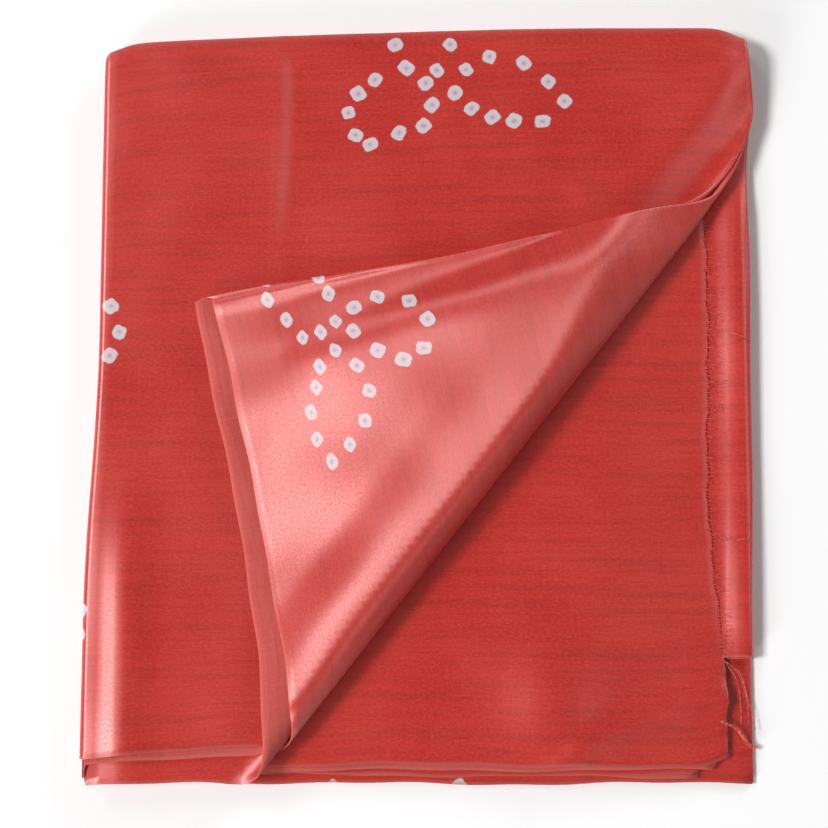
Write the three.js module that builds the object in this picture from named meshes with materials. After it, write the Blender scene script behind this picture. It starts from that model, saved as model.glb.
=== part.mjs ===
// Folded bandhani cloth: one length of tie-dyed silk satin, zigzag-folded across into five layers,
// doubled at the top edge, with the lower right corner of the four upper layers turned back.
// Millimetres, +Z up, X to the right, Y towards the doubled edge. It lies flat on its lowest layer.
import * as THREE from 'three';

const clothThickness = 1.0;
const layerPitch = 1.5;
const layerCount = 5;

// The folded packet, seen from above
const leftFoldX = -116;
const rightFoldX = 126.5;
const rawEndX = 111;
const doubledEdgeY = 143;
const bottomEdgeY = -130;

// Half heights of the doubled packet: the innermost layer lies half a pitch from the middle plane
const topLayerHeight = (layerCount - 0.5) * layerPitch;
const middleZ = topLayerHeight + clothThickness / 2;
const lapRadius = 1.5 * layerPitch;
const lapEndHeight = 0.7 * layerPitch;

// Bottom selvedge of each layer: how far it lies past bottomEdgeY at the left, at the middle and at the
// right, how far it drops at the tip of the turned corner, and how far its right corner is drawn up over
// the width of that corner
const selvedgeColumns = ['left', 'middle', 'right', 'tipDrop', 'cornerRise', 'cornerWidth'];
const frontSelvedges = [
    [3, 9, 11, 0, 0, 1],
    [0, 7, 10, 0, 0, 1],
    [-7.5, 0.5, 4.5, 5.5, 0, 1],
    [-1, 10, 10.5, 2, 0, 1],
    [-3, 0, -3, 0, 11, 30],
];
const backSelvedges = [
    [-4, -5, -5, 0, 0, 1],
    [-5.5, -7, -6.5, 0, 0, 1],
    [-3, -4, -5, 0, 44, 10],
    [-3, -3, -4, 0, 43, 10],
    [-2, -2, -2, 0, 38, 9],
];
const tipWidth = 27;

// The turned corner: its crease runs up to the right, and the top layer rolls tightest
const creaseFoot = new THREE.Vector2(-44.3, -120.7);
const creaseHead = new THREE.Vector2(125.8, 94.9);
const rollRadiusFoot = 2.8;
const rollRadiusHead = 4.2;
const turnedLayers = 4;
const sagLength = 38;
const rollSteps = 8;
const sagSteps = 3;

// Grid of the sheet
const panelLinesX = [leftFoldX, -107, -78, -44, -8, 30, 66, 94, rawEndX, 119, rightFoldX];
const frontRowsY = [bottomEdgeY, -117, -100, -76, -48, -16, 18, 52, 84, 105, 124, doubledEdgeY];
const backRowsY = [doubledEdgeY, 124, 100, 55, 0, -55, -84, -100, bottomEdgeY];
const foldSteps = 4;
const doublingSteps = 8;
const snapDistance = 0.5;

const creaseAlong = creaseHead.clone().sub(creaseFoot);
const creaseLength = creaseAlong.length();
creaseAlong.divideScalar(creaseLength);
const creaseAcross = new THREE.Vector2(creaseAlong.y, -creaseAlong.x);
const meanRollRadius = (rollRadiusFoot + rollRadiusHead) / 2;
const doublingRadius = topLayerHeight / 2;

const blend = THREE.MathUtils.smoothstep;
const bump = (value, centre, width) => Math.exp(-(((value - centre) / width) ** 2));

function selvedgeRow(table, layer) {
    return Object.fromEntries(selvedgeColumns.map((name, column) => [name, table[layer][column]]));
}

// Distance that a layer's selvedge lies past bottomEdgeY at x, through its left, middle and right values
function selvedgeOfLayer(table, layer, x) {
    const row = selvedgeRow(table, layer);
    const across = THREE.MathUtils.clamp((x - leftFoldX) / (rightFoldX - leftFoldX), 0, 1);
    const bow = row.middle - (row.left + row.right) / 2;
    const cornerStart = rawEndX - row.cornerWidth / 2;
    const corner = row.cornerRise * blend(x, cornerStart, cornerStart + row.cornerWidth);
    const tip = row.tipDrop * bump(x, creaseFoot.x, tipWidth);
    return THREE.MathUtils.lerp(row.left, row.right, across) + 4 * bow * across * (1 - across) + corner - tip;
}

// The same for a layer position that may lie in a fold, between two layers
function selvedgeShift(table, layer, x) {
    const lower = Math.min(Math.floor(layer), layerCount - 1);
    const upper = Math.min(lower + 1, layerCount - 1);
    const share = layer - lower;
    const lowerShift = selvedgeOfLayer(table, lower, x);
    return share === 0 ? lowerShift : THREE.MathUtils.lerp(lowerShift, selvedgeOfLayer(table, upper, x), share);
}

// Uneven outline: both sides lean out towards the selvedges, the right side bulges below the doubled edge,
// the turned layers are drawn in beside the roll, and the raw end runs out to the right near the selvedge
function outlineShiftX(x, y, layer, isTurned) {
    const across = (x - leftFoldX) / (rightFoldX - leftFoldX);
    const left = -3.6 * blend(-y, -25, 75);
    const bulge = 2.4 * bump(y, 122, 17);
    const turnedSide = 5.5 * blend(-y, 20, 119) - 3.2 * blend(-y, -100, -75);
    const lyingSide = 0.8 * bump(y, 60, 30) - 1.8 * blend(-y, 20, 80);
    const rawEnd = layer > layerCount - 1.5 ? 7.5 * blend(-y, 20, 118) : 0;
    const right = bulge + (isTurned ? turnedSide : lyingSide + rawEnd);
    return THREE.MathUtils.lerp(left, right, across);
}

function outlineShiftY(x, y) {
    const across = (x - leftFoldX) / (rightFoldX - leftFoldX);
    const climb = 6.5 * Math.sin((Math.min(across, 0.85) / 0.85) * Math.PI / 2) - 5.8;
    const corners = -3.4 * bump(x, leftFoldX - 3, 8) - 4.5 * bump(x, rightFoldX + 2, 8);
    return (climb + corners) * blend(y, 20, doubledEdgeY);
}

// Radius of the top layer in the roll at a place along the crease
function rollRadius(along) {
    return THREE.MathUtils.lerp(rollRadiusFoot, rollRadiusHead, blend(along, 0, creaseLength * 0.6));
}

// Turned radius of the outermost of the turned layers, which keeps its length
function outerRadius(along) {
    return rollRadius(along) + (turnedLayers - 1) * layerPitch;
}

// Place along the crease, and distance past the line where the roll begins
function creasePlace(x, y) {
    const fromFoot = new THREE.Vector2(x - creaseFoot.x, y - creaseFoot.y);
    const along = fromFoot.dot(creaseAlong);
    return { along, past: fromFoot.dot(creaseAcross) + outerRadius(along) };
}

// The doubled packet before the corner is turned: a point of the section (x, height from the middle plane)
// carried along the length, over the doubled edge and back underneath
function packetPoint(point, side) {
    const x = point.x + side * point.normalX * clothThickness / 2;
    const height = point.height + side * point.normalHeight * clothThickness / 2;
    const overEdge = THREE.MathUtils.clamp((point.length - doubledEdgeY) / doublingRadius, 0, Math.PI);
    const isBack = overEdge > Math.PI / 2;
    const isTurned = overEdge === 0 && point.layer < turnedLayers;
    const restOfLength = Math.max(point.length - doubledEdgeY - Math.PI * doublingRadius, 0);
    const straightY = Math.min(point.length, doubledEdgeY) - restOfLength;
    const selvedges = isBack ? backSelvedges : frontSelvedges;
    const selvedge = selvedgeShift(selvedges, point.layer, point.x) * blend(-straightY, 66, -bottomEdgeY);
    const y = straightY + selvedge;
    return {
        x: x + outlineShiftX(x, y, point.layer, isTurned),
        y: y + outlineShiftY(x, y) + height * Math.sin(overEdge),
        height: height * Math.cos(overEdge),
        isTurned,
    };
}

// The finished place of a point: the four upper layers are rolled over the crease and sag onto the packet
function clothPoint(point, side) {
    const flat = packetPoint(point, side);
    const place = creasePlace(flat.x, flat.y);
    if (!flat.isTurned || place.past <= 0) {
        return new THREE.Vector3(flat.x, flat.y, middleZ + flat.height);
    }
    const tightest = rollRadius(place.along);
    const axisHeight = topLayerHeight + tightest;
    const radius = axisHeight - flat.height;
    const rollLength = Math.PI * outerRadius(place.along);
    const angle = Math.min(place.past, rollLength) / rollLength * Math.PI;
    const beyond = Math.max(place.past - rollLength, 0);
    const across = radius * Math.sin(angle) - beyond;
    const sag = (2 * tightest - layerPitch) * blend(beyond, 0, sagLength);
    const shift = across - place.past;
    return new THREE.Vector3(
        flat.x + shift * creaseAcross.x,
        flat.y + shift * creaseAcross.y,
        middleZ + axisHeight - radius * Math.cos(angle) - sag,
    );
}

// How far a point is through the turn, counted in steps of the roll and then of the sag
function turnSteps(point) {
    const flat = packetPoint(point, 0);
    const place = creasePlace(flat.x, flat.y);
    const rollLength = Math.PI * outerRadius(place.along);
    if (place.past <= rollLength) {
        return place.past / rollLength * rollSteps;
    }
    return rollSteps + (place.past - rollLength) / sagLength * sagSteps;
}

// Stations of the section, from the lapped end over the left side, through the layers to the raw end
function sectionStations() {
    const stations = [];
    const add = (x, height, angle, layer) => {
        stations.push({ x, height, normalX: Math.cos(angle), normalHeight: Math.sin(angle), layer });
    };
    const lapTop = topLayerHeight - lapRadius;
    add(leftFoldX - lapRadius, lapEndHeight, Math.PI, 0);
    for (let step = 0; step < foldSteps - 1; step += 1) {
        const angle = Math.PI - (step / (foldSteps - 1)) * Math.PI / 2;
        add(leftFoldX + lapRadius * Math.cos(angle), lapTop + lapRadius * Math.sin(angle), angle, 0);
    }
    for (let layer = 0; layer < layerCount; layer += 1) {
        const height = topLayerHeight - layer * layerPitch;
        const runsRight = layer % 2 === 0;
        const isLast = layer === layerCount - 1;
        const direction = runsRight ? 1 : -1;
        const lines = panelLinesX.filter((x) => !isLast || x <= rawEndX);
        for (const x of runsRight ? lines : lines.reverse()) {
            add(x, height, direction * Math.PI / 2, layer);
        }
        for (let step = 1; !isLast && step < foldSteps; step += 1) {
            const turn = (step / foldSteps) * Math.PI;
            const radius = layerPitch / 2;
            add(
                (runsRight ? rightFoldX : leftFoldX) + direction * radius * Math.sin(turn),
                height - radius + radius * Math.cos(turn),
                direction * (Math.PI / 2 - turn),
                layer + step / foldSteps,
            );
        }
    }
    return stations;
}

// Rows along the length: the front from its selvedge up, the turn over the doubled edge, the back down
function lengthRows() {
    const rows = [...frontRowsY];
    for (let step = 1; step < doublingSteps; step += 1) {
        rows.push(doubledEdgeY + (step / doublingSteps) * Math.PI * doublingRadius);
    }
    const backStart = 2 * doubledEdgeY + Math.PI * doublingRadius;
    return rows.concat(backRowsY.map((y) => backStart - y));
}

function mixPoints(first, second, share) {
    const mixed = {};
    for (const key of Object.keys(first)) {
        mixed[key] = THREE.MathUtils.lerp(first[key], second[key], share);
    }
    const scale = Math.hypot(mixed.normalX, mixed.normalHeight);
    mixed.normalX /= scale;
    mixed.normalHeight /= scale;
    return mixed;
}

// The sheet as points with convex cells between them, cut along the crease so that the roll stays round
class SheetGrid {
    constructor() {
        this.points = [];
        this.cells = [];
    }

    fill(stations, rows) {
        for (const station of stations) {
            for (const length of rows) {
                this.points.push({ ...station, length });
            }
        }
        const index = (column, row) => column * rows.length + row;
        for (let column = 0; column + 1 < stations.length; column += 1) {
            for (let row = 0; row + 1 < rows.length; row += 1) {
                this.cells.push([
                    index(column, row),
                    index(column + 1, row),
                    index(column + 1, row + 1),
                    index(column, row + 1),
                ]);
            }
        }
    }

    // Cuts every turned cell along one line of the turn; points near the line count as on it
    cut(level) {
        const tolerance = snapDistance * rollSteps / (Math.PI * (meanRollRadius + layerPitch));
        const offsets = this.points.map((point) => {
            const offset = turnSteps(point) - level;
            return Math.abs(offset) < tolerance ? 0 : offset;
        });
        const cutPoints = new Map();
        const crossing = (first, second) => {
            const [low, high] = first < second ? [first, second] : [second, first];
            const key = `${low} ${high}`;
            if (!cutPoints.has(key)) {
                const share = offsets[low] / (offsets[low] - offsets[high]);
                cutPoints.set(key, this.points.length);
                this.points.push(mixPoints(this.points[low], this.points[high], share));
            }
            return cutPoints.get(key);
        };
        this.cells = this.cells.flatMap((cell) => {
            const isFlat = cell.some((id) => this.points[id].layer >= turnedLayers - 0.01
                || this.points[id].length > doubledEdgeY + 0.01);
            const isCut = cell.some((id) => offsets[id] < 0) && cell.some((id) => offsets[id] > 0);
            if (isFlat || !isCut) {
                return [cell];
            }
            const before = [];
            const after = [];
            cell.forEach((id, corner) => {
                const next = cell[(corner + 1) % cell.length];
                if (offsets[id] <= 0) {
                    before.push(id);
                }
                if (offsets[id] >= 0) {
                    after.push(id);
                }
                if (offsets[id] * offsets[next] < 0) {
                    const middle = crossing(id, next);
                    before.push(middle);
                    after.push(middle);
                }
            });
            return [before, after].filter((part) => part.length > 2);
        });
    }

    // Triangles of the cells, each a fan from the corner that gives the fattest smallest triangle
    triangles() {
        return this.cells.flatMap((cell) => {
            const fans = cell.map((_, start) => {
                const turned = [...cell.slice(start), ...cell.slice(0, start)];
                return turned.slice(1, -1).map((id, step) => [turned[0], id, turned[step + 2]]);
            });
            const smallest = (fan) => Math.min(...fan.map((triangle) => this.flatArea(triangle)));
            return fans.reduce((best, fan) => (smallest(fan) > smallest(best) ? fan : best));
        });
    }

    flatArea(triangle) {
        const [a, b, c] = triangle.map((id) => clothPoint(this.points[id], 0));
        return new THREE.Triangle(a, b, c).getArea();
    }
}

// A closed solid: the upper face, the lower face and a wall round the sheet's edge
function sheetSolid(grid) {
    const count = grid.points.length;
    const positions = [];
    for (const side of [1, -1]) {
        for (const point of grid.points) {
            positions.push(...clothPoint(point, side).toArray());
        }
    }
    const faces = [];
    const edges = new Map();
    for (const [a, b, c] of grid.triangles()) {
        faces.push(a, b, c, count + a, count + c, count + b);
        for (const [from, to] of [[a, b], [b, c], [c, a]]) {
            const opposite = `${to} ${from}`;
            if (edges.has(opposite)) {
                edges.delete(opposite);
            } else {
                edges.set(`${from} ${to}`, [from, to]);
            }
        }
    }
    for (const [from, to] of edges.values()) {
        faces.push(to, from, count + from, to, count + from, count + to);
    }
    const geometry = new THREE.BufferGeometry();
    geometry.setAttribute('position', new THREE.Float32BufferAttribute(positions, 3));
    geometry.setIndex(faces);
    return geometry;
}

function foldedCloth() {
    const grid = new SheetGrid();
    grid.fill(sectionStations(), lengthRows());
    for (let level = 0; level <= rollSteps + sagSteps; level += 1) {
        grid.cut(level);
    }
    const geometry = sheetSolid(grid);
    geometry.computeBoundingBox();
    const box = geometry.boundingBox;
    geometry.translate(-(box.min.x + box.max.x) / 2, -(box.min.y + box.max.y) / 2, -box.min.z);
    geometry.computeVertexNormals();
    return geometry;
}

const redSatin = new THREE.MeshStandardMaterial({ color: 0xc3372f, roughness: 0.42, metalness: 0 });

const cloth = new THREE.Group();
const sheet = new THREE.Mesh(foldedCloth(), redSatin);
sheet.name = 'bandhani_cloth';
cloth.add(sheet);

export default cloth;
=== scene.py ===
import math
import bpy
import numpy as np
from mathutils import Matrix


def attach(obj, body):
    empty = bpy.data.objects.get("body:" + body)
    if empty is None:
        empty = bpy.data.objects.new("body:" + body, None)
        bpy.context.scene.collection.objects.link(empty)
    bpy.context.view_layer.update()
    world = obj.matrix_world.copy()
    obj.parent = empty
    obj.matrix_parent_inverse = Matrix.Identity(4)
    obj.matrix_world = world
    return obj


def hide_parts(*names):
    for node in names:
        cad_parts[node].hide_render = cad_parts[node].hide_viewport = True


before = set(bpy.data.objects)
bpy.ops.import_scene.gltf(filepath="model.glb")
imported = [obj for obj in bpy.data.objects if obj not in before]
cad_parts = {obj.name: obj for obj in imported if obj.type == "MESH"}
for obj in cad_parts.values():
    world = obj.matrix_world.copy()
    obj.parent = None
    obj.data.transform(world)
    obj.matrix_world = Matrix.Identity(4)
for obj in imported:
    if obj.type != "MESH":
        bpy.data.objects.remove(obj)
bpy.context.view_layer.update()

print("frame loaded")

mm = 0.001

# The packet as it is folded, in millimetres on the photo's own plan
packet = {
    "layers": 5,
    "pitch": 1.5,                   # from layer to layer
    "clothThickness": 0.36,
    "middle": (3.8604, 6.7226),     # where the frame's origin lies on that plan
    "middleZ": 7.25,
    "leftFold": -116.0,
    "rightFold": 126.5,
    "rawEnd": 111.0,
    "doubledEdge": 143.0,
    "bottomEdge": -130.0,
    "lapRadius": 2.25,              # the first end is lapped under the top layer
    "lapEnd": 1.05,
}

# How finely the sheet is laid out
grid = {
    "spacing": (3.0, 6.0, 5.0, 2.8, 3.0),   # of the columns, layer by layer
    "besideFold": (0.8, 1.7),       # extra columns at these distances from the visible folds
    "foldSteps": 6,
    "rows": (92, 9, 31),            # front, half turn at the doubled edge, back
}

# The corner of the four upper layers that is rolled back along a slanting crease. Pairs are the places
# between which a form comes in, in millimetres, where nothing else is said
turn = {
    "foot": np.array([-44.3, -120.7]),
    "head": np.array([125.8, 94.9]),
    "layers": 4,
    "radius": (2.8, 4.2),           # of the tightest layer: foot, head
    "radiusRun": 0.6,               # share of the crease over which it grows
    "sagRun": (32, 120),            # run over which the flap comes down: at its upper edge, well inside
    "sagEdge": 30,                  # width of the rounded band along the upper edge
    "sagTip": (0.25, -130, -70),  # share of the long run that is left at the tip, and its places
    "puff": 3,                      # how much the flap swells inside that band
    "puffEdge": (2.5, 21),          # distance from the fold
    "puffRoll": (0.4, 1),           # share of the roll's half turn
    "puffTip": (-138, -62),
    "puffHead": (0.6, 0.6, 0.9),    # share lost at the head, between these shares of the crease
    "trough": 3.3,                  # depth behind the crest, in the flap's lower half
    "troughRun": (5, 28, 34, 80),  # behind the roll: starts, full, still full, gone
    "troughSide": (10, 105),        # below the middle
    "bead": (0.5, 0.8, 1.5),        # small bead of the fold itself: height, place, width
    "beadRun": 6,
    "slump": (0.1, 0.62),           # share of its height that the roll loses beside the crease: foot, head
    "slumpRun": (8, 34),            # and the width of that slope: foot, head
    "slumpHead": (0.5, 0.97),       # shares of the crease between which foot turns into head
    "headPinch": (0.3, 96, 26),  # share by which the folds close up at the head, place, width
    "headPinchSide": (100, 122),
    "headRidge": (1.9, -15, 8),  # soft ridge of the top layers beside the head: height, place, width
    "headHollow": (1.2, -1, 6, 8),  # and the trough after it, with its end
    "headRun": (52, 14),            # distances from the head
}

# Selvedge of each layer past bottomEdge: left, middle, right, tipDrop, cornerRise, cornerWidth
frontSelvedges = np.array([
    [3, 9, 11, 0, 0, 1],
    [0, 7, 10, 0, 0, 1],
    [-7.5, 0.5, 4.5, 5.5, 0, 1],
    [-1, 10, 10.5, 2, 0, 1],
    [-3, 0, -3, 0, 11, 30],
])
backSelvedges = np.array([
    [-4, -5, -5, 0, 0, 1],
    [-5.5, -7, -6.5, 0, 0, 1],
    [-3, -4, -5, 0, 44, 10],
    [-3, -3, -4, 0, 43, 10],
    [-2, -2, -2, 0, 38, 9],
])
selvedgeCut = {
    "tipWidth": 27,
    "waves": ((0.45, 15, 2.1), (0.25, 5.7, 1)),  # height, length over two pi, step per layer
    "hollow": (1.8, 22, 26),        # of the lowest turned layer: depth, place, width
    "run": 66,                      # distance below the middle at which the selvedge's shape begins to tell
}

topHeight = (packet["layers"] - 0.5) * packet["pitch"]
doublingRadius = topHeight / 2
halfTurn = math.pi * doublingRadius
creaseVector = turn["head"] - turn["foot"]
creaseLength = math.hypot(*creaseVector)
creaseAlong = creaseVector / creaseLength
creaseAcross = np.array([creaseAlong[1], -creaseAlong[0]])


# smooth climb from 0 at low to 1 at high: t squared times three minus two t
def climb(value, low, high):
    t = np.clip((value - low) / (high - low), 0, 1)
    return t * t * (3 - 2 * t)


# bell of height 1: e to the minus square of the distance over the width
def bell(value, centre, width):
    return np.exp(-((value - centre) / width) ** 2)


# a form that comes in towards the selvedges: its amount times the climb of minus y
def lowerForm(y, form):
    amount, start, full = form
    return amount * climb(-y, start, full)


# a form that stands at one place: its amount times the bell
def bellForm(value, form):
    amount, place, width = form
    return amount * bell(value, place, width)


# share of the way from the left fold to the right fold
def acrossPacket(x):
    return (x - packet["leftFold"]) / (packet["rightFold"] - packet["leftFold"])


# how far each layer's selvedge lies past the bottom edge: a parabola through left, middle and right,
# plus the drawn-up corner, less the drop at the tip, with a small hand-cut wave
def selvedgeShift(table, layer, x):
    left, middle, right, tip, rise, width = (table[:, [k]] for k in range(6))
    share = np.clip(acrossPacket(x), 0, 1)[None, :]
    bow = middle - (left + right) / 2
    start = packet["rawEnd"] - width / 2
    every = left * (1 - share) + right * share + 4 * bow * share * (1 - share)
    every = every + rise * climb(x[None, :], start, start + width)
    every = every - tip * bell(x, turn["foot"][0], selvedgeCut["tipWidth"])[None, :]
    number = np.arange(packet["layers"])[:, None]
    for height, reach, step in selvedgeCut["waves"]:
        every = every + height * np.sin(x[None, :] / reach + step * number)
    every = every - bellForm(x, selvedgeCut["hollow"])[None, :] * (number == turn["layers"] - 1)
    low = np.clip(np.floor(layer).astype(int), 0, packet["layers"] - 1)
    high = np.minimum(low + 1, packet["layers"] - 1)
    column = np.arange(len(x))
    return every[low, column] + (layer - low) * (every[high, column] - every[low, column])


# How the outline departs from a rectangle: amount and where it comes in, or amount, place and width
outline = {
    "leftLean": (3.6, -25, 75),
    "turnedLean": (5.5, 20, 119),  # right side of the turned layers
    "turnedTuck": (3.2, -100, -75),
    "rollTuck": (2, 86, 20),  # bell, beside the roll
    "rollTuckLayers": (1.4, 1.9),
    "lyingBulge": (0.8, 60, 30),  # bell, right side of the other layers
    "lyingLean": (1.8, 20, 80),
    "rawLean": (7.5, 20, 118),  # the raw end
    "rawWaves": ((0.35, 4.3, 0), (0.3, 1.9, 1), (0.5, 17, 0)),  # height, length, start
    "rawWaveRun": 8,
    "cornerBulge": (2.4, 122, 17),  # bell, below the doubled edge
    "topSlope": (6.5, 0.85, 5.8),  # doubled edge: rise, share of the width that it takes, level
    "leftCorner": (3.4, packet["leftFold"] - 3, 8),
    "rightCorner": (4.5, packet["rightFold"] + 2, 8),
    "topRun": (20, packet["doubledEdge"]),
}


# sideways shift of the outline: the left side leans, the right side bulges below the doubled edge, the
# turned layers draw in beside the roll, and the raw end runs out near the selvedge with a frayed wave
def outlineShiftX(x, y, layer, turned):
    left = -lowerForm(y, outline["leftLean"])
    turnedSide = lowerForm(y, outline["turnedLean"]) - lowerForm(y, outline["turnedTuck"])
    turnedSide = turnedSide - bellForm(y, outline["rollTuck"]) * climb(layer, *outline["rollTuckLayers"])
    lyingSide = bellForm(y, outline["lyingBulge"]) - lowerForm(y, outline["lyingLean"])
    frayed = sum(height * np.sin(y / reach + start) for height, reach, start in outline["rawWaves"])
    nearRaw = climb(x, packet["rawEnd"] - outline["rawWaveRun"], packet["rawEnd"])
    lowest = layer > packet["layers"] - 1.5
    rawEnd = np.where(lowest, lowerForm(y, outline["rawLean"]) + frayed * nearRaw, 0)
    right = bellForm(y, outline["cornerBulge"]) + np.where(turned, turnedSide, lyingSide + rawEnd)
    return left + acrossPacket(x) * (right - left)


# lengthwise shift of the outline: a quarter sine up to the right, lowered at the two corners
def outlineShiftY(x, y):
    rise, width, level = outline["topSlope"]
    share = np.minimum(acrossPacket(x), width) / width
    slope = rise * np.sin(share * math.pi / 2) - level
    corners = -bellForm(x, outline["leftCorner"]) - bellForm(x, outline["rightCorner"])
    return (slope + corners) * climb(y, *outline["topRun"])


# radius of the tightest layer in the roll: foot plus the climb along the crease times the difference
def rollRadius(along):
    foot, head = turn["radius"]
    return foot + (head - foot) * climb(along, 0, creaseLength * turn["radiusRun"])


# Soft creases and swells that show in the light, listed one by one. Bells are height, place and width
relief = {
    "swell": 0.55,  # slow waves of the whole packet
    "leftSwell": (2.3, -106, 8),  # long swell beside the left edge, a bell across
    "leftSwellSide": (10, 75),  # below the middle
    "flapFold": 0.12,  # folds that fan out from the head of the crease
    "crinkle": 0.085,  # small unrest of the satin
    "press": (0.32, -48.9, 2.2),  # ironed crease of the top layer, a bell across
    "pressLean": 0.012,
    "pressSide": (30, 60),
    "edgeCrease": 1.1,  # short slanting crease of the top layer beside the flap
    "edgeCreasePlace": (64.8, 83.2),
    "edgeCreaseWay": (0.73, 0.68),  # the way square to it
    "edgeCreaseSize": (3.2, 10),  # half width and half length
    "hump": (2.9, 50, 15),  # the lowest front layer stands loose above its edge, across
    "humpAlong": (1, -108, 24),
    "ridge": (2.3, 0, 4.8),  # slanting ridge near the foot of that layer, from its line
    "ridgeHollow": (0.4, 9, 5),
    "ridgeSides": ((44, 62), (50, 70)),  # where ridge and hollow come in across
    "ridgeLine": (-129, 23.5, 54, 0.8),  # its start, its rise, place and run across, its power
    "strip": (2.6, 112.5, 124.5),  # side strip that rises to its fold: height, start, top
    "stripDrop": (0.45, 3),  # share that it loses past its top, and the run of it
    "stripLayers": (2, 2.9, 3.5),
    "stripSide": (-92, -80),
    "stripWaves": ((0.5, 31), (0.1, 13)),  # of its top and of its height: amount, length
    "rawDip": (52, 1.5, 2.6),  # the raw end hangs down: run, depth at the back, at the front
    "rawEdgeDip": (0.42, 2.7),  # and at its very edge: depth, run
    "bed": (0.35, 30, 6, 113, 118),  # hollow of the layer under it: depth, runs, places
}


# slow waves: three crossed sines
def slowWaves(x, y):
    return (
        np.sin(x / 37 + y / 58 + 0.6)
        + 0.7 * np.sin(x / 21 - y / 49 + 2.0)
        + 0.5 * np.sin(y / 19 + x / 90 + 4.0)
    )


# small unrest: sines of short wave length that cross at odd angles
def crinkleWaves(x, y):
    return (
        np.sin(x / 5.1 + 1.7 * np.sin(y / 23))
        + np.sin(y / 6.3 + 1.3 * np.sin(x / 19) + 1)
        + 0.8 * np.sin((x + y) / 8.7 + 2)
        + 0.7 * np.sin((x - 1.6 * y) / 11.3 + 0.4)
    )


# creases of the top layer: a leaning line of bells, and a slanting bell, long one way and narrow the other
def topCreases(x, y):
    press = bellForm(x + relief["pressLean"] * y, relief["press"]) * climb(y, *relief["pressSide"])
    placeX, placeY = relief["edgeCreasePlace"]
    wayX, wayY = relief["edgeCreaseWay"]
    width, length = relief["edgeCreaseSize"]
    crease = relief["edgeCrease"] * bell((x - placeX) * wayX + (y - placeY) * wayY, 0, width)
    return press + crease * bell((x - placeX) * wayY - (y - placeY) * wayX, 0, length)


# ridge near the foot of the lowest front layer: a bell from a curved line, less a hollow, plus a loose hump
def rawLayerForms(x, y):
    start, rise, place, power = relief["ridgeLine"]
    away = y - start - rise * np.clip((x - place) / place, 0, 1) ** power
    ridgeSide, hollowSide = relief["ridgeSides"]
    ridge = bellForm(away, relief["ridge"]) * climb(x, *ridgeSide)
    ridge = ridge - bellForm(away, relief["ridgeHollow"]) * climb(x, *hollowSide)
    return ridge + bellForm(x, relief["hump"]) * bellForm(y, relief["humpAlong"])


# strip beside the raw end, which climbs to its fold and drops a little past it, and the hollow before it
def stripForms(x, y, layer):
    height, start, top = relief["strip"]
    drop, dropRun = relief["stripDrop"]
    (topWave, topReach), (wave, reach) = relief["stripWaves"]
    first, full, end = relief["stripLayers"]
    side = climb(x, start, top + topWave * np.sin(y / topReach)) - drop * climb(x, top, top + dropRun)
    side = height * side * climb(layer, first, full) * (layer < end) * climb(-y, *relief["stripSide"])
    side = side * (1 - wave + wave * np.sin(y / reach))
    depth, before, at, after, gone = relief["bed"]
    bed = -depth * climb(x, packet["rawEnd"] - before, packet["rawEnd"] - at) * (1 - climb(x, after, gone))
    return side + bed * (layer > full) * (layer < end)


# ridges of one layer only, as a height above its own lie, with the dip of the raw end
def layerRelief(x, y, layer, back):
    run, backDepth, frontDepth = relief["rawDip"]
    dip = climb(x, packet["rawEnd"] - run, packet["rawEnd"] + 1) * (layer > 3.9)
    dip = -dip * np.where(back, backDepth, frontDepth)
    top = np.where((layer < 0.5) & ~back, topCreases(x, y), 0)
    raw = np.where((layer > 3.5) & ~back, rawLayerForms(x, y), 0)
    return top + raw + np.where(back, stripForms(x, y, layer), 0) + dip


# the packet before the turn: the section carried along the length, over the doubled edge and back under
def packetPlan(x, height, layer, length):
    x, height, layer = x[:, None], height[:, None], layer[:, None]
    over = np.clip((length - packet["doubledEdge"]) / doublingRadius, 0, math.pi)[None, :]
    rest = np.maximum(length - packet["doubledEdge"] - halfTurn, 0)
    straight = (np.minimum(length, packet["doubledEdge"]) - rest)[None, :]
    front = selvedgeShift(frontSelvedges, layer[:, 0], x[:, 0])[:, None]
    under = selvedgeShift(backSelvedges, layer[:, 0], x[:, 0])[:, None]
    back = over > math.pi / 2
    selvedge = np.where(back, under, front)
    y = straight + selvedge * climb(-straight, selvedgeCut["run"], -packet["bottomEdge"])
    turned = (over == 0) & (layer < turn["layers"])
    planX = x + outlineShiftX(x, y, layer, turned)
    planX = planX - 1.6 * climb(x, packet["rawEnd"] - 10, packet["rawEnd"]) * (layer > 3.9) * back
    planY = y + outlineShiftY(x, y) + height * np.sin(over)
    return planX, planY, height * np.cos(over), turned, np.broadcast_to(back, planX.shape)


# how far the flap comes down behind the roll: twice the radius less a layer, by a climb over the run
def flapSag(fold, planY, beyond, tightest):
    share, low, high = turn["sagTip"]
    inside = climb(fold, 0, turn["sagEdge"]) * (share + (1 - share) * climb(planY, low, high))
    shortRun, longRun = turn["sagRun"]
    sagRun = shortRun + (longRun - shortRun) * inside
    return (2 * tightest - packet["pitch"]) * climb(beyond / sagRun, 0, 1)


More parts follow.
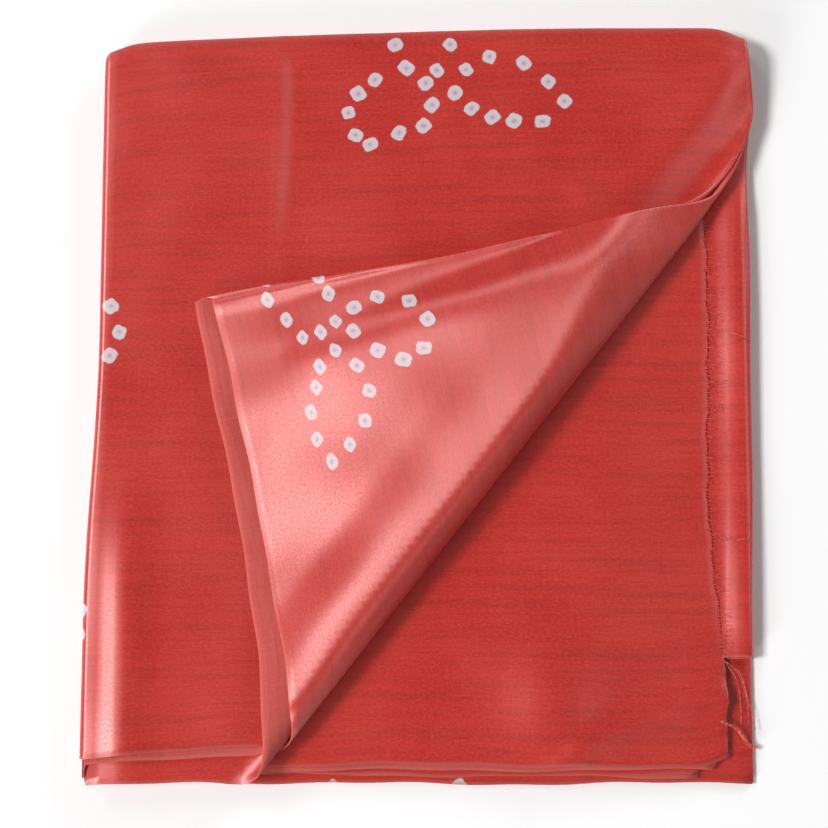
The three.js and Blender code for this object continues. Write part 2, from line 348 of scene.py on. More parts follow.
# swell of the flap inside its upper edge, less the trough of its lower half, plus the bead of the fold
def flapPuff(fold, planY, along, angle, beyond):
    lost, low, high = turn["puffHead"]
    puff = turn["puff"] * climb(fold, *turn["puffEdge"]) * climb(angle / math.pi, *turn["puffRoll"])
    puff = puff * climb(planY, *turn["puffTip"])
    puff = puff * (1 - lost * climb(along, low * creaseLength, high * creaseLength))
    starts, full, stillFull, gone = turn["troughRun"]
    trough = climb(beyond, starts, full) * (1 - climb(beyond, stillFull, gone))
    trough = trough * climb(-planY, *turn["troughSide"])
    bead = bellForm(fold, turn["bead"]) * climb(beyond, 0, turn["beadRun"])
    return puff - turn["trough"] * trough + bead


# ridge and trough of the lying layers beside the head: two bells across the crease, in by a climb along it
def headRidge(past, along):
    depth, place, width, end = turn["headHollow"]
    ridge = bellForm(past, turn["headRidge"]) - depth * bell(past, place, width) * (past < end)
    farthest, nearest = turn["headRun"]
    return ridge * climb(along, creaseLength - farthest, creaseLength - nearest)


# share of its height that each spot of the turned layers loses: greatest at the roll, less by a climb
# back from it
def rollSlump(inward, along):
    low, high = turn["slumpHead"]
    share = climb(along, low * creaseLength, high * creaseLength)
    slump, run = (foot + (head - foot) * share for foot, head in (turn["slump"], turn["slumpRun"]))
    return slump * (1 - climb(inward / run, 0, 1))


# the corner's turn: a half roll round an axis above the top layer, then a smooth sag onto the packet
def clothSurface(x, height, layer, length):
    planX, planY, lie, turned, back = packetPlan(x, height, layer, length)
    lie = lie + layerRelief(planX, planY, layer[:, None], back)
    depth, run = relief["rawEdgeDip"]
    rawEdge = depth * climb(x, packet["rawEnd"] - run, packet["rawEnd"]) * (layer > 3.9)
    lie = lie - rawEdge[:, None] * ~back
    pinch = bellForm(planY, turn["headPinch"]) * climb(planX, *turn["headPinchSide"]) * turned
    lie = topHeight - (topHeight - lie) * (1 - pinch)
    fromX, fromY = planX - turn["foot"][0], planY - turn["foot"][1]
    along = fromX * creaseAlong[0] + fromY * creaseAlong[1]
    tightest = rollRadius(along)
    outer = tightest + (turn["layers"] - 1) * packet["pitch"]
    past = fromX * creaseAcross[0] + fromY * creaseAcross[1] + outer
    past = np.where(turned, past, -1)
    rolls = past > 0
    rollLength = math.pi * outer
    angle = np.clip(past, 0, rollLength) / rollLength * math.pi
    beyond = np.maximum(past - rollLength, 0)
    radius = topHeight + tightest - lie
    shift = np.where(rolls, radius * np.sin(angle) - beyond - past, 0)
    fold = packet["rightFold"] - planX
    raised = topHeight + tightest - radius * np.cos(angle) - flapSag(fold, planY, beyond, tightest)
    z = np.where(rolls, raised, lie) + packet["middleZ"]
    z = z + flapPuff(fold, planY, along, angle, beyond) + headRidge(past, along) * turned * ~rolls
    sideways = np.where(rolls, radius * np.sin(angle) - beyond, past)
    lowest = topHeight - (turn["layers"] - 1) * packet["pitch"] + packet["middleZ"]
    z = lowest + (z - lowest) * (1 - rollSlump(outer - sideways, along) * turned)
    finalX = planX + shift * creaseAcross[0]
    finalY = planY + shift * creaseAcross[1]
    return finalX, finalY, z + swells(finalX, finalY, z, along, beyond)


# swells shared by all that lies at one place, so that layers keep their order: waves times the share of
# the height, a long swell at the left, and folds that fan out from the head of the crease on the flap
def swells(x, y, z, along, beyond):
    share = np.clip(z / (2 * packet["middleZ"]), 0, 1)
    waves = relief["swell"] * slowWaves(x, y)
    waves = waves + bellForm(x, relief["leftSwell"]) * climb(-y, *relief["leftSwellSide"])
    waves = waves + relief["crinkle"] * crinkleWaves(x, y)
    toHead = np.hypot(creaseLength - along, beyond + 1)
    fan = np.arctan2(beyond, np.maximum(creaseLength - along, 1))
    folds = np.sin(fan * 17 + 0.5) * climb(toHead, 10, 120) * climb(beyond, 2, 22)
    return share * waves + relief["flapFold"] * folds * (beyond > 0)


# Columns of the section: the lapped end, then layer after layer with a half round fold between them
def sectionColumns():
    left, right, pitch = packet["leftFold"], packet["rightFold"], packet["pitch"]
    lap = packet["lapRadius"]
    lapTop = topHeight - lap
    rise = np.linspace(packet["lapEnd"], lapTop, 4)[:-1]
    quarter = np.linspace(math.pi, math.pi / 2, 5)[:-1]
    parts = [
        (np.full(3, left - lap), rise, np.zeros(3)),
        (left + lap * np.cos(quarter), lapTop + lap * np.sin(quarter), np.zeros(4)),
    ]
    starts = []
    for number in range(packet["layers"]):
        height = topHeight - number * pitch
        runsRight = number % 2 == 0
        last = number == packet["layers"] - 1
        ends = (left, packet["rawEnd"] if last else right) if runsRight else (right, left)
        steps = np.linspace(*ends, round(abs(ends[1] - ends[0]) / grid["spacing"][number]) + 1)
        if number in (0, 3, packet["layers"] - 1):
            farEnd = packet["rawEnd"] if last else right
            steps = np.sort(np.concatenate([steps, farEnd - np.array(grid["besideFold"])]))
            steps = steps[::1 if runsRight else -1]
        count = len(steps)
        starts.append(sum(len(part[0]) for part in parts))
        parts.append((steps, np.full(count, height), np.full(count, float(number))))
        if not last:
            bend = np.arange(1, grid["foldSteps"]) / grid["foldSteps"]
            side = 1 if runsRight else -1
            parts.append((
                ends[1] + side * pitch / 2 * np.sin(bend * math.pi),
                height - pitch / 2 + pitch / 2 * np.cos(bend * math.pi),
                number + bend,
            ))
    x, height, layer = (np.concatenate([part[k] for part in parts]) for k in range(3))
    run = np.concatenate([[0], np.cumsum(np.hypot(np.diff(x), np.diff(height)))])
    return x, height, layer, run, starts


# Rows along the length: front selvedge to the doubled edge, the half turn, and back to the other selvedge
def lengthRows():
    frontRows, turnRows, backRows = grid["rows"]
    front = np.linspace(packet["bottomEdge"], packet["doubledEdge"], frontRows)
    over = packet["doubledEdge"] + np.linspace(0, halfTurn, turnRows)[1:]
    under = over[-1] + np.linspace(0, packet["doubledEdge"] - packet["bottomEdge"], backRows)[1:]
    return np.concatenate([front, over, under])


# The tied motif, charted: three leaves of dots and a heart. Each row is out from the flower's middle and
# aside from the leaf's own axis, in millimetres on the flat cloth
motif = {
    "right": ((9.3, 7.0), (17.5, 12.3), (29.8, 11.5), (40.4, 6.2), (47.0, -2.0), (40.5, -9.4),
              (30.6, -12.2), (21.3, -10.2), (13.0, -8.2)),
    "up": ((9.1, 10.6), (18.6, 12.1), (29.0, 9.1), (34.2, -0.5), (30.2, -10.0), (21.0, -13.6),
           (13.2, -8.4)),
    "left": ((13.1, -11.3), (20.6, -13.0), (28.6, -11.8), (36.0, -7.2), (38.4, 3.0), (33.5, 9.6),
             (22.5, 10.5), (13.2, 11.3)),
    "heart": ((-1.2, 4.8), (-6.3, 0.4), (-3.9, -8.4), (5.3, -4.0)),
    "looseness": 0.55,
    "closest": 6.4,             # a dot that comes nearer than this to another is left out
    "halfSide": (2.35, 2.95),   # smallest and largest half side of a dot
    "seed": 5,
}

# Flowers: layer, place across and along the folded packet, back half or not, bearings of the three leaves
flowers = (
    (0, 9.2, 127.7, False, -9, 104, 208),
    (3, 102.9, -76.8, False, -18, 91, 222),
    (0, 70.0, -60.0, True, -12, 95, 214),
    (0, -70.0, -10.0, True, -6, 99, 210),
    (0, 92.0, 55.0, True, -15, 93, 218),
)

# Single dots of flowers that are folded away otherwise
edgeDots = (
    (0, -114.0, 40.7, False), (0, -110.5, 30.4, False), (0, -114.0, 21.3, False),
    (0, -119.4, -73.7, False), (0, -119.6, -82.8, False),
    (1, -26.6, -132.0, True), (1, 19.6, -130.8, True),
)


# a leaf's dots turned to its bearing: out along the bearing plus aside square to it
def leafDots(chart, bearing):
    out, aside = np.array(chart).T
    c, s = math.cos(math.radians(bearing)), math.sin(math.radians(bearing))
    return np.stack([out * c - aside * s, out * s + aside * c], 1)


# place on the flat cloth of a spot on a layer of the packet: the run to its layer's start and on across it,
# and its length, which at the back is counted over the doubled edge
def flatPlace(layer, across, along, back, run, starts):
    runsRight = layer % 2 == 0
    start = packet["leftFold"] if runsRight else packet["rightFold"]
    u = run[starts[layer]] + (across - start) * (1 if runsRight else -1)
    v = 2 * packet["doubledEdge"] + halfTurn - along if back else along
    return np.array([u, v])


# distance of every point of one set from every point of another: the root of the squares' sum
def distances(points, others):
    return np.hypot(*(points[:, None, :] - others[None, :, :]).transpose(2, 0, 1))


# centres of every dot on the flat cloth, with the turn and the two half sides of each
def dyedDots(run, starts):
    rng = np.random.default_rng(motif["seed"])
    centres = []
    for layer, across, along, back, right, up, left in flowers:
        leaves = (leafDots(motif["right"], right), leafDots(motif["up"], up), leafDots(motif["left"], left))
        dots = np.concatenate([*leaves, np.array(motif["heart"])])
        dots = dots + rng.normal(0, motif["looseness"], dots.shape)
        laterOnes = np.triu(np.full((len(dots), len(dots)), 99.0))
        dots = dots[(distances(dots, dots) + laterOnes).min(1) > motif["closest"]]
        centres.append(dots + flatPlace(layer, across, along, back, run, starts))
    centres.append(np.array([flatPlace(*dot, run, starts) for dot in edgeDots]))
    centres = np.concatenate(centres)
    turns = math.pi / 4 + rng.normal(0, 0.3, len(centres))
    sizes = rng.uniform(*motif["halfSide"], (len(centres), 2))
    return centres, turns, sizes


# length over the doubled edge as one layer has it: its half turn is longer by the layer's own radius
def overEdge(length, stretch):
    past = np.clip(length - packet["doubledEdge"], 0, halfTurn)
    return length + (stretch - 1) * past


# corner coordinates seen from a dot: shifted to its centre, turned and measured in its half sides
def seenFromDot(corners, stretch, dots, which):
    centres, turns, sizes = dots
    away = corners - centres[which][:, None, :]
    away[:, :, 1] = overEdge(corners[:, :, 1], stretch) - overEdge(centres[which][:, None, 1], stretch)
    c, s = np.cos(turns[which])[:, None], np.sin(turns[which])[:, None]
    turnedX = away[:, :, 0] * c + away[:, :, 1] * s
    turnedY = away[:, :, 1] * c - away[:, :, 0] * s
    return np.stack([turnedX, turnedY], 2) / sizes[which][:, None, :]


# a mesh from an array of points and one of faces, smooth shaded, with its UV maps by name
def meshPiece(name, points, faces, uvMaps=None):
    mesh = bpy.data.meshes.new(name)
    mesh.vertices.add(len(points))
    mesh.vertices.foreach_set("co", np.ascontiguousarray(points, dtype=np.float32).ravel())
    mesh.loops.add(faces.size)
    mesh.loops.foreach_set("vertex_index", faces.astype(np.int32).ravel())
    mesh.polygons.add(len(faces))
    mesh.polygons.foreach_set("loop_start", np.arange(0, faces.size, faces.shape[1], dtype=np.int32))
    mesh.update(calc_edges=True)
    mesh.polygons.foreach_set("use_smooth", np.ones(len(faces), dtype=bool))
    for key, values in (uvMaps or {}).items():
        layer = mesh.uv_layers.new(name=key)
        layer.data.foreach_set("uv", np.ascontiguousarray(values, dtype=np.float32).ravel())
    mesh.validate()
    piece = bpy.data.objects.new(name, mesh)
    bpy.context.scene.collection.objects.link(piece)
    return piece


# faces of a grid of columns by rows, wound so that the satin side looks out
def gridFaces(columns, rows):
    number = np.arange(columns * rows).reshape(columns, rows)
    return np.stack([number[:-1, :-1], number[1:, :-1], number[1:, 1:], number[:-1, 1:]], 2).reshape(-1, 4)


# from the photo's plan in millimetres to the frame in metres: less the packet's middle, times a thousandth
def toFrame(x, y, z):
    middleX, middleY = packet["middle"]
    return np.stack([x - middleX, y - middleY, z], -1) * mm


# the sheet: the surface at every column and row, its flat cloth as one UV map and, as two more, each
# face's corners seen from its nearest and its second nearest dot
def foldedCloth():
    x, height, layer, run, starts = sectionColumns()
    length = lengthRows()
    points = toFrame(*clothSurface(x, height, layer, length)).reshape(-1, 3)
    faces = gridFaces(len(x), len(length))
    flat = np.stack(np.broadcast_arrays(run[:, None], length[None, :]), 2).reshape(-1, 2)
    corners = flat[faces]
    stretch = np.repeat(np.abs(height) / doublingRadius, len(length))[faces]
    dots = dyedDots(run, starts)
    nearest = np.argsort(distances(corners.mean(1), dots[0]), axis=1)[:, :2]
    maps = {
        "flatCloth": corners * mm,
        "nearestDot": seenFromDot(corners, stretch, dots, nearest[:, 0]),
        "secondDot": seenFromDot(corners, stretch, dots, nearest[:, 1]),
    }
    piece = meshPiece("folded_cloth", points, faces, maps)
    thickness = piece.modifiers.new("cloth thickness", "SOLIDIFY")
    thickness.thickness = packet["clothThickness"] * mm
    thickness.offset = 0
    thickness.use_even_offset = False
    thickness.material_offset = 1
    thickness.material_offset_rim = 2
    flatSize = (length[-1] - length[0], run[-1])
    pressPlace = flatPlace(0, relief["press"][1], 0, False, run, starts)[0]
    print("cloth folded:", len(faces), "faces, flat size in mm", flatSize)
    return piece, flatSize, pressPlace


# Small helpers for the shaders: each adds nodes, fed with values or with other nodes' outputs
class Shader:
    def __init__(self, name):
        self.material = bpy.data.materials.new(name)
        self.material.use_nodes = True
        self.tree = self.material.node_tree
        self.tree.nodes.clear()

    def node(self, kind, **settings):
        made = self.tree.nodes.new(kind)
        for key, value in settings.items():
            setattr(made, key, value)
        return made

    def put(self, value, socket):
        if isinstance(value, bpy.types.NodeSocket):
            self.tree.links.new(value, socket)
        else:
            socket.default_value = value

    def maths(self, operation, first, second=0.0):
        made = self.node("ShaderNodeMath", operation=operation)
        self.put(first, made.inputs[0])
        self.put(second, made.inputs[1])
        return made.outputs[0]

    # product of any number of shares
    def times(self, first, *others):
        for other in others:
            first = self.maths("MULTIPLY", first, other)
        return first

    # what a share leaves of 1
    def left(self, share):
        return self.maths("SUBTRACT", 1.0, share)

    # a noise about its middle, times a size
    def unrest(self, noise, size):
        return self.times(self.maths("SUBTRACT", noise, 0.5), size)

    def mix(self, share, first, second):
        made = self.node("ShaderNodeMix", data_type="RGBA", blend_type="MIX")
        self.put(share, made.inputs["Factor"])
        self.put(first, made.inputs[6])
        self.put(second, made.inputs[7])
        return made.outputs[2]

    def uv(self, name):
        return self.node("ShaderNodeUVMap", uv_map=name).outputs[0]

    def split(self, vector):
        made = self.node("ShaderNodeSeparateXYZ")
        self.put(vector, made.inputs[0])
        return made.outputs[0], made.outputs[1]

    def noise(self, vector, scale, detail=3.0, roughness=0.5):
        made = self.node("ShaderNodeTexNoise")
        self.put(vector, made.inputs["Vector"])
        made.inputs["Scale"].default_value = scale
        made.inputs["Detail"].default_value = detail
        made.inputs["Roughness"].default_value = roughness
        made.inputs["Distortion"].default_value = 0.0
        return made.outputs["Fac"]

    # noise stretched by its own scale along and across the warp
    def weaveNoise(self, vector, along, across, detail, roughness):
        made = self.node("ShaderNodeMapping")
        self.put(vector, made.inputs["Vector"])
        made.inputs["Scale"].default_value = (along, across, 1)
        return self.noise(made.outputs[0], 1.0, detail, roughness)

    # smooth step from 0 at low to 1 at high
    def between(self, value, low, high):
        made = self.node("ShaderNodeMapRange", interpolation_type="SMOOTHSTEP")
        self.put(value, made.inputs["Value"])
        made.inputs["From Min"].default_value = low
        made.inputs["From Max"].default_value = high
        return made.outputs[0]

    # a surface of one tone, joined to the output
    def surface(self, tone, roughness, specular):
        made = self.node("ShaderNodeBsdfPrincipled")
        self.put(tone, made.inputs["Base Color"])
        self.put(roughness, made.inputs["Roughness"])
        made.inputs["Specular IOR Level"].default_value = specular
        output = self.node("ShaderNodeOutputMaterial")
        self.put(made.outputs[0], output.inputs[0])
        return made


# screen colour of 0 to 255 as linear light: the sRGB curve, a power of 2.4 with a straight foot
def paint(red, green, blue):
    linear = [((c / 255 + 0.055) / 1.055) ** 2.4 if c > 10 else c / 255 / 12.92 for c in (red, green, blue)]
    return (*linear, 1.0)


# The weave on the flat cloth in metres: scale along and across the warp, detail and roughness of each
# noise, then the range in which it tells and the colour that it brings
weave = {
    "band": (14, 330, 3.0, 0.6, 0.4, 0.75, "dyeDeep"),
    "slub": (42, 1500, 4.0, 0.65, 0.42, 0.8, "dyeDeep"),
    "filling": (1300, 60, 3.0, 0.6, 0.5, 0.8, "dyeLight"),
    # painted glints: pale points of painted highlight where the satin's floats would sparkle
    "paintedGlint": (700, 1150, 2.0, 0.8, 0.38, 0.72, "halo"),
}
ground = {
    "cloud": (22, 22, 4.0, 0.6),        # slow change of the dye
    "cloudRange": (0.3, 0.72),
    "threads": (380, 2300, 2.0, 0.6),   # relief of the floats
    "grainScale": 2100.0,
    "sparkleScale": 1100.0,
    "sparkle": 0.5,                     # how much it changes the roughness
    "selvedgeWidth": 0.0016,
    "selvedgeShare": 0.6,
    "bumpDistance": 0.0004,
}

# The pale dots, measured in half sides from a dot's centre, and the pressed line, painted pale as its
# highlight
dotForm = {
    "edgeScale": 420.0,                 # roughness of the edge, and its size
    "edgeRough": 0.42,
    "halo": (0.98, 1.22),
    "haloShare": 0.35,
    "dot": (0.94, 1.06),
    "speck": (0.05, 0.5),
    "dent": (0.2, 1.4),
    "dentDepth": 0.5,
    "dull": 0.12,                       # how much rougher the undyed satin is
}
pressHighlightLine = {
    "halfWidth": 0.0042,
    "ends": (0.06, 0.143),              # metres along the length
    "fades": (0.03, 0.01),              # and how it fades at each
    "slubs": (0.15, 0.65),
}


# squarish distance from a dot's centre: the cube root of x cubed plus y cubed, both without their signs
def dotReach(shader, uvName):
    sides = [shader.maths("ABSOLUTE", part) for part in shader.split(shader.uv(uvName))]
    cubes = [shader.maths("POWER", side, 3.0) for side in sides]
    return shader.maths("POWER", shader.maths("ADD", *cubes), 1 / 3.0)


# where the pressed line's painted highlight lies: near its place across, between its two ends, and patchy by
# the slubs
def pressHighlightShare(shader, along, across, slub):
    low, high = pressHighlightLine["ends"]
    fadeIn, fadeOut = pressHighlightLine["fades"]
    aside = shader.maths("ABSOLUTE", shader.maths("SUBTRACT", along, pressPlace * mm))
    return shader.times(
        shader.left(shader.between(aside, 0.0, pressHighlightLine["halfWidth"])),
        shader.between(across, low, low + fadeIn),
        shader.left(shader.between(across, high - fadeOut, high)),
        shader.between(slub, *pressHighlightLine["slubs"]),
    )


# where a selvedge runs: within its width of the first or of the last row
def selvedgeShare(shader, across):
    width = ground["selvedgeWidth"]
    front = packet["bottomEdge"] * mm
    end = front + flatSize[0] * mm
    first = shader.left(shader.between(across, front, front + width))
    return shader.maths("MAXIMUM", first, shader.between(across, end - width, end))


# Satin, wrong side and cut edge share one dye: red with slubs along the warp, pale resist dots, paler
# selvedges, painted glints and a painted highlight along the pressed line. Each mark is a share, made by a
# range of a noise or of a distance, that mixes its colour in
def dyedCloth(name, look):
    shader = Shader(name)
    flat = shader.uv("flatCloth")
    along, across = shader.split(flat)
    cloud = shader.weaveNoise(flat, *ground["cloud"])
    tone = shader.mix(shader.between(cloud, *ground["cloudRange"]), look["dye"], look["dyeLight"])
    noises = {part: shader.weaveNoise(flat, *values[:4]) for part, values in weave.items()}
    for part, (*_, low, high, colour) in weave.items():
        share = shader.times(shader.between(noises[part], low, high), look[part])
        tone = shader.mix(share, tone, look[colour])
    # painted highlight along the pressed crease, patchy by the slubs
    pressHighlight = pressHighlightShare(shader, along, across, noises["slub"])
    tone = shader.mix(shader.times(pressHighlight, look["pressHighlight"]), tone, look["halo"])

    reach = shader.maths("MINIMUM", dotReach(shader, "nearestDot"), dotReach(shader, "secondDot"))
    edge = shader.unrest(shader.noise(flat, dotForm["edgeScale"], 2.0), dotForm["edgeRough"])
    reach = shader.maths("ADD", reach, edge)
    rings = [dotForm[part] for part in ("halo", "dot", "speck")]
    halo, dot, speck = (shader.left(shader.between(reach, *ring)) for ring in rings)
    tone = shader.mix(shader.times(halo, dotForm["haloShare"]), tone, look["halo"])
    tone = shader.mix(dot, tone, look["resist"])
    tone = shader.mix(shader.times(speck, look["speckShare"]), tone, look["speck"])
    selvedge = shader.times(selvedgeShare(shader, across), ground["selvedgeShare"])
    tone = shader.mix(selvedge, tone, look["selvedge"])

    threads = shader.times(shader.weaveNoise(flat, *ground["threads"]), look["threadDepth"])
    grain = shader.times(shader.noise(flat, ground["grainScale"], 2.0, 0.7), look["grainDepth"])
    dent = shader.times(shader.between(reach, *dotForm["dent"]), dotForm["dentDepth"])
    height = shader.maths("ADD", shader.maths("ADD", threads, grain), dent)
    bump = shader.node("ShaderNodeBump")
    bump.inputs["Strength"].default_value = look["bump"]
    bump.inputs["Distance"].default_value = ground["bumpDistance"]
    shader.put(height, bump.inputs["Height"])

    sparkle = shader.unrest(shader.noise(flat, ground["sparkleScale"], 2.0, 0.9), ground["sparkle"])
    gloss = shader.maths("ADD", look["roughness"], sparkle)
    gloss = shader.maths("ADD", gloss, shader.times(dot, dotForm["dull"]))
    surface = shader.surface(tone, gloss, look["specular"])
    shader.put(bump.outputs[0], surface.inputs["Normal"])
    surface.inputs["Specular Tint"].default_value = look["glossTint"]
    surface.inputs["IOR"].default_value = look["ior"]
    surface.inputs["Sheen Weight"].default_value = look["sheen"]
    surface.inputs["Sheen Roughness"].default_value = 0.4
    surface.inputs["Sheen Tint"].default_value = look["sheenTint"]
    if look["floats"]:
        surface.inputs["Anisotropic"].default_value = look["floats"]
        surface.inputs["Anisotropic Rotation"].default_value = 0.25
        tangent = shader.node("ShaderNodeTangent", direction_type="UV_MAP", uv_map="flatCloth")
        shader.put(tangent.outputs[0], surface.inputs["Tangent"])
    return shader.material


# The satin's right side; band, slub, filling, the painted glints and the pressed line's painted highlight are
# the shares of those marks
satin = {
    "dye": paint(199, 28, 16),
    "dyeLight": paint(210, 50, 38),
    "dyeDeep": paint(158, 12, 6),
    "band": 0.42,
    "slub": 0.55,
    "filling": 0.5,
    # share of the painted glints, painted highlight points in the dye
    "paintedGlint": 0.23,
    # share of the pressed line's painted highlight
    "pressHighlight": 0.42,
    # pale pink of the dots' dye halo, also the colour of the painted glints and of the pressed line's painted
    # highlight
    "halo": paint(205, 110, 104),
    "resist": paint(214, 202, 210),
    "speck": paint(160, 120, 136),
    "speckShare": 0.55,
    "selvedge": paint(214, 112, 100),
    "threadDepth": 0.45,
    "grainDepth": 0.2,
    "bump": 0.12,
    "roughness": 0.45,
    "specular": 0.78,
    "glossTint": (1.0, 0.6, 0.59, 1.0),
    "ior": 2.1,
    "sheen": 0.0,
    "sheenTint": paint(255, 170, 160),
    "floats": 0.9,          # how far the floating warp draws the gloss out across itself
}
wrongSide = dict(
    satin,
    dye=paint(188, 76, 71),
    dyeLight=paint(200, 92, 87),
    dyeDeep=paint(170, 58, 53),
    resist=paint(210, 186, 188),
    roughness=0.75,
    specular=0.2,
    ior=1.5,
    sheen=0.05,
    floats=0.0,
)
cutEdge = dict(
    wrongSide,
    dye=paint(190, 60, 54),
    dyeLight=paint(206, 88, 80),
    selvedge=paint(214, 112, 102),
)

cloth, flatSize, pressPlace = foldedCloth()
for name, look in (("satin_face", satin), ("wrong_side", wrongSide), ("cut_edge", cutEdge)):
    cloth.data.materials.append(dyedCloth(name, look))
print("cloth dyed")


# square tubes round many paths at once: paths are (count, steps, 3), and each ring of four corners
# stands on its path's direction, at its radius
def threadTubes(name, paths, radii):
    sides = 4
    ahead = np.gradient(paths, axis=1)
    ahead /= np.linalg.norm(ahead, axis=2, keepdims=True)
    up = np.array([0.0, 0.0, 1.0]) + 0.01 * ahead[:, :, [1, 2, 0]]
    sideways = np.cross(ahead, up)
    sideways /= np.linalg.norm(sideways, axis=2, keepdims=True)
    upright = np.cross(sideways, ahead)
    angle = np.linspace(0, 2 * math.pi, sides, endpoint=False)
    ring = (np.cos(angle)[None, None, :, None] * sideways[:, :, None, :]
            + np.sin(angle)[None, None, :, None] * upright[:, :, None, :])
    points = paths[:, :, None, :] + ring * radii[:, :, None, None]
    count, steps = paths.shape[:2]
    number = np.arange(count * steps * sides).reshape(count, steps, sides)
    following = np.roll(number, -1, axis=2)
    walls = np.stack([number[:, :-1], following[:, :-1], following[:, 1:], number[:, 1:]], 3)
    faces = np.concatenate([walls.reshape(-1, sides), number[:, 0, ::-1], number[:, -1]])
    return meshPiece(name, toFrame(*points.reshape(-1, 3).T), faces)


# The warp ends that fray out of the raw end of the lowest front layer, lying on the strip beside it
fringe = {
    "count": 380,
    "low": -90.0,
    "high": 92.0,
    "length": 3.4,
    "longStretch": (62.0, -8.0, 5.0),   # top, bottom and added length of the longest ends
    "fade": 12.0,                       # run over which the longest ends come in and go
    "rooted": 0.8,                      # how far they start inside the end
    "drift": 0.16,
    "curl": 0.5,
    "lift": (5.3, 0.2, 0.15),           # height at the root, fall to the tip, and how far they lie apart
    "radius": 0.07,
    "seed": 11,
}


# each warp end runs out from the raw end by its reach times t, drifts sideways with it and curls with t
# squared, at the strip's own height plus a little
def frayedWarp():
    rng = np.random.default_rng(fringe["seed"])
    y = np.sort(rng.uniform(fringe["low"], fringe["high"], fringe["count"]))
    high, low, added = fringe["longStretch"]
    fade = fringe["fade"]
    reach = fringe["length"] * rng.beta(1.6, 2.6, len(y)) * 2
    longest = added * rng.beta(1.2, 3.0, len(y))
    reach = reach + longest * climb(y, low, low + fade) * (1 - climb(y, high - fade, high))
    lowestLayer = np.full(len(y), packet["layers"] - 1.0)
    end = packet["rawEnd"] + outlineShiftX(np.full(len(y), packet["rawEnd"]), y, lowestLayer, False)
    t = np.linspace(0, 1, 6)[None, :]
    drift = rng.normal(0, fringe["drift"], len(y))[:, None]
    curl = rng.normal(0, fringe["curl"], len(y))[:, None]
    x = end[:, None] - fringe["rooted"] + (reach[:, None] + fringe["rooted"]) * t
    along = y[:, None] + drift * reach[:, None] * t + curl * t ** 2
    root, fall, apart = fringe["lift"]
    stripHeight, stripStart, stripTop = relief["strip"]
    z = root - fall * t + apart * rng.random((len(y), 1)) + stripHeight * climb(x, stripStart, stripTop)
    z = z + relief["swell"] * 0.4 * slowWaves(x, along)
    radii = fringe["radius"] * (1 - 0.4 * t) * np.ones_like(x)
    return threadTubes("frayed_warp", np.stack([x, along, z], 2), radii)


# a smooth path through given points: Catmull and Rom's cubic between each pair
def smoothPath(stops, steps):
    stops = np.array(stops, dtype=float)
    padded = np.concatenate([[2 * stops[0] - stops[1]], stops, [2 * stops[-1] - stops[-2]]])
    place = np.linspace(0, len(stops) - 1 - 1e-9, steps)
    k = place.astype(int)
    t = (place - k)[:, None]
    a, b, c, d = padded[k], padded[k + 1], padded[k + 2], padded[k + 3]
    square, cube = 2 * a - 5 * b + 4 * c - d, 3 * b - a - 3 * c + d
    return 0.5 * (2 * b + (c - a) * t + square * t ** 2 + cube * t ** 3)


# Loose warp ends, two on the strip and three at the frayed corner, and a twisted tuft there
looseEnds = {
    "radius": 0.16,
    "paths": (
        ((113.5, 31.6, 6.2), (117, 32.6, 6.9), (120.5, 31, 7.9), (124, 29.6, 8.2), (127, 28.6, 7.2)),
        ((114.5, -46.2, 6.2), (117.5, -47, 6.9), (120.5, -47.4, 7.9), (123, -47, 8.3), (125.5, -47.6, 8.1)),
        ((114, -91, 8.2), (117, -95, 6), (119.5, -99, 4.2), (121, -106, 3.2), (121.2, -116, 3)),
        ((115.5, -92.5, 8.2), (119.8, -96.2, 5.6), (122.5, -102, 3.6), (125, -110, 3), (126.4, -117.5, 2.9)),
        ((116.5, -95.5, 8.2), (119.6, -95.3, 6.4), (122, -99.5, 4.4), (123.6, -107, 3.2), (124.2, -115, 2.9)),
    ),
    "tuft": ((113, -114, 8.4), (118.5, -116.4, 6.4), (121.5, -120.4, 4.6), (124, -122.6, 3.9),
             (126, -124.6, 3.4)),
    "tuftStrands": 9,
    "tuftRadius": 0.9,
    "tuftTurns": 2.2,
    "steps": 40,
}


# the loose ends on their smooth paths; the tuft's strands wind round its own path at an angle that grows
# with t, and spread towards its end
def looseThreads():
    steps = looseEnds["steps"]
    paths = np.stack([smoothPath(stops, steps) for stops in looseEnds["paths"]])
    middle = smoothPath(looseEnds["tuft"], steps)
    t = np.linspace(0, 1, steps)[None, :]
    start = np.linspace(0, 2 * math.pi, looseEnds["tuftStrands"], endpoint=False)[:, None]
    angle = start + looseEnds["tuftTurns"] * 2 * math.pi * t
    spread = looseEnds["tuftRadius"] * (0.55 + 0.45 * np.sin(3 * t + start)) * (0.5 + 0.7 * t)
    aside = spread * np.cos(angle) * 0.8
    strands = middle[None, :, :] + np.stack([aside, aside, spread * np.sin(angle)], 2)
    every = np.concatenate([paths, strands])
    radii = np.full(every.shape[:2], looseEnds["radius"])
    return threadTubes("loose_threads", every, radii)


# Yarn: pale red filament with a soft gloss, two tones mixed by a fine noise
def yarnFinish(name, base, light):
    shader = Shader(name)
    place = shader.node("ShaderNodeTexCoord").outputs["Object"]
    tone = shader.mix(shader.between(shader.noise(place, 900.0, 2.0), 0.35, 0.7), base, light)
    shader.surface(tone, 0.6, 0.25)
    return shader.material


warpEnds = frayedWarp()
warpEnds.data.materials.append(yarnFinish("frayed_yarn", paint(206, 58, 46), paint(228, 120, 110)))
threads = looseThreads()
threads.data.materials.append(yarnFinish("loose_yarn", paint(196, 70, 60), paint(228, 130, 118)))
print("threads laid")

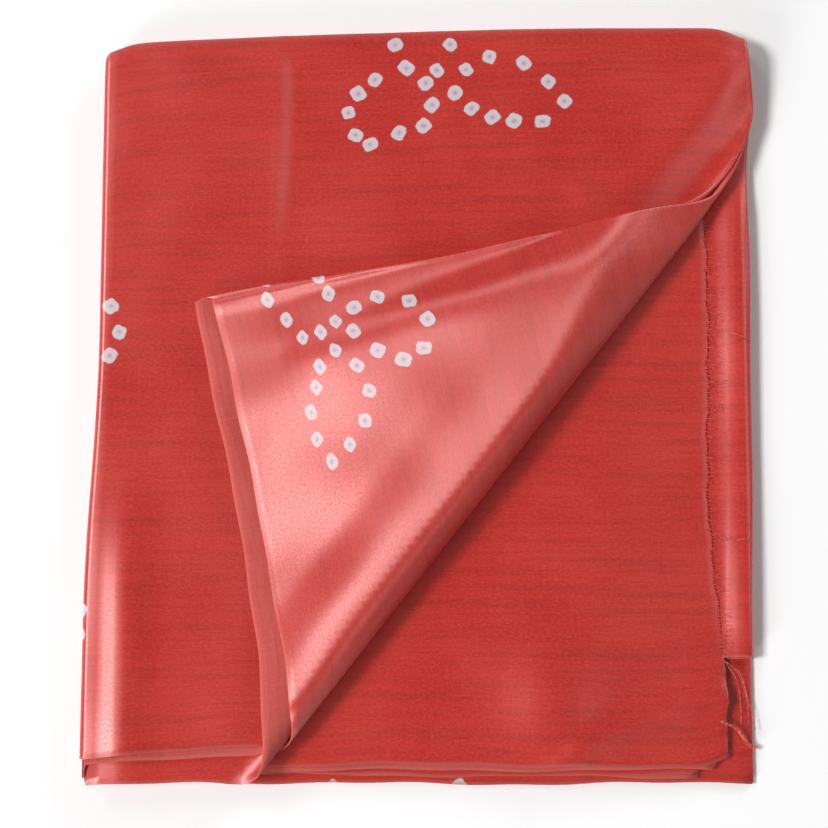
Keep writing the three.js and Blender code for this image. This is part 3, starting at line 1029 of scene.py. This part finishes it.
# Each piece hangs from the root body, and the frame's own cloth is hidden
for piece in (cloth, warpEnds, threads):
    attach(piece, "root")
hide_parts("bandhani_cloth")

# Studio: white floor, soft light from the upper left, camera almost straight above
studio = {
    "floorSize": 6.0,
    "floorTone": (0.97, 0.97, 0.97, 1),
    "cameraDistance": 735.0,
    "cameraElevation": 82.0,
    "cameraAim": (0.0, 0.0, 8.0),
    "lens": 85.0,
    "sensor": 36.0,
    "worldStrength": 0.15,
}

# Soft lights: place, width and height in metres, power in watts
lights = {
    "left_window": ((-2.06, -0.29, 2.64), (0.9, 0.7), 81),
    "key_window": ((-1.5, 1.7, 2.4), (0.8, 0.8), 10),
    "low_fill": ((1.7, 2.1, 1.2), (1.0, 1.0), 26),
    "front_fill": ((-1.7, -2.1, 1.2), (1.0, 1.0), 34),
}


# floor: one square about the origin, half its size to each side
def whiteFloor():
    half = studio["floorSize"] / 2
    corners = np.array([[-half, -half, 0], [half, -half, 0], [half, half, 0], [-half, half, 0]])
    floor = meshPiece("pale_floor", corners, np.array([[0, 1, 2, 3]]))
    shader = Shader("pale_floor")
    shader.surface(studio["floorTone"], 0.9, 0.1)
    floor.data.materials.append(shader.material)


# a rectangle of light that faces the origin: tilted by the angle of its run over its height, and turned
# to the bearing of the origin
def softLight(name, place, size, power):
    light = bpy.data.lights.new(name, "AREA")
    light.shape = "RECTANGLE"
    light.size, light.size_y = size
    light.energy = power
    lamp = bpy.data.objects.new(name, light)
    bpy.context.scene.collection.objects.link(lamp)
    lamp.location = place
    x, y, z = place
    lamp.rotation_euler = (math.atan2(math.hypot(x, y), z), 0, math.atan2(x, -y))


# camera at its distance from the aim: back by the cosine of its elevation and up by the sine
def camera():
    data = bpy.data.cameras.new("camera")
    data.lens, data.sensor_width = studio["lens"], studio["sensor"]
    data.clip_start, data.clip_end = 0.01, 20
    eye = bpy.data.objects.new("camera", data)
    bpy.context.scene.collection.objects.link(eye)
    tilt = math.radians(studio["cameraElevation"])
    aimX, aimY, aimZ = studio["cameraAim"]
    away = studio["cameraDistance"]
    eye.location = toFrame(aimX, aimY - away * math.cos(tilt), aimZ + away * math.sin(tilt))
    eye.rotation_euler = (math.pi / 2 - tilt, 0, 0)
    bpy.context.scene.camera = eye


# the even light of the room: one white background at its strength
def evenLight():
    world = bpy.data.worlds.new("studio")
    bpy.context.scene.world = world
    world.use_nodes = True
    background = world.node_tree.nodes["Background"]
    background.inputs[0].default_value = (1, 1, 1, 1)
    background.inputs[1].default_value = studio["worldStrength"]


whiteFloor()
for name, (place, size, power) in lights.items():
    softLight(name, place, size, power)
camera()
evenLight()
bpy.context.scene.view_settings.view_transform = "Standard"
print("studio set")
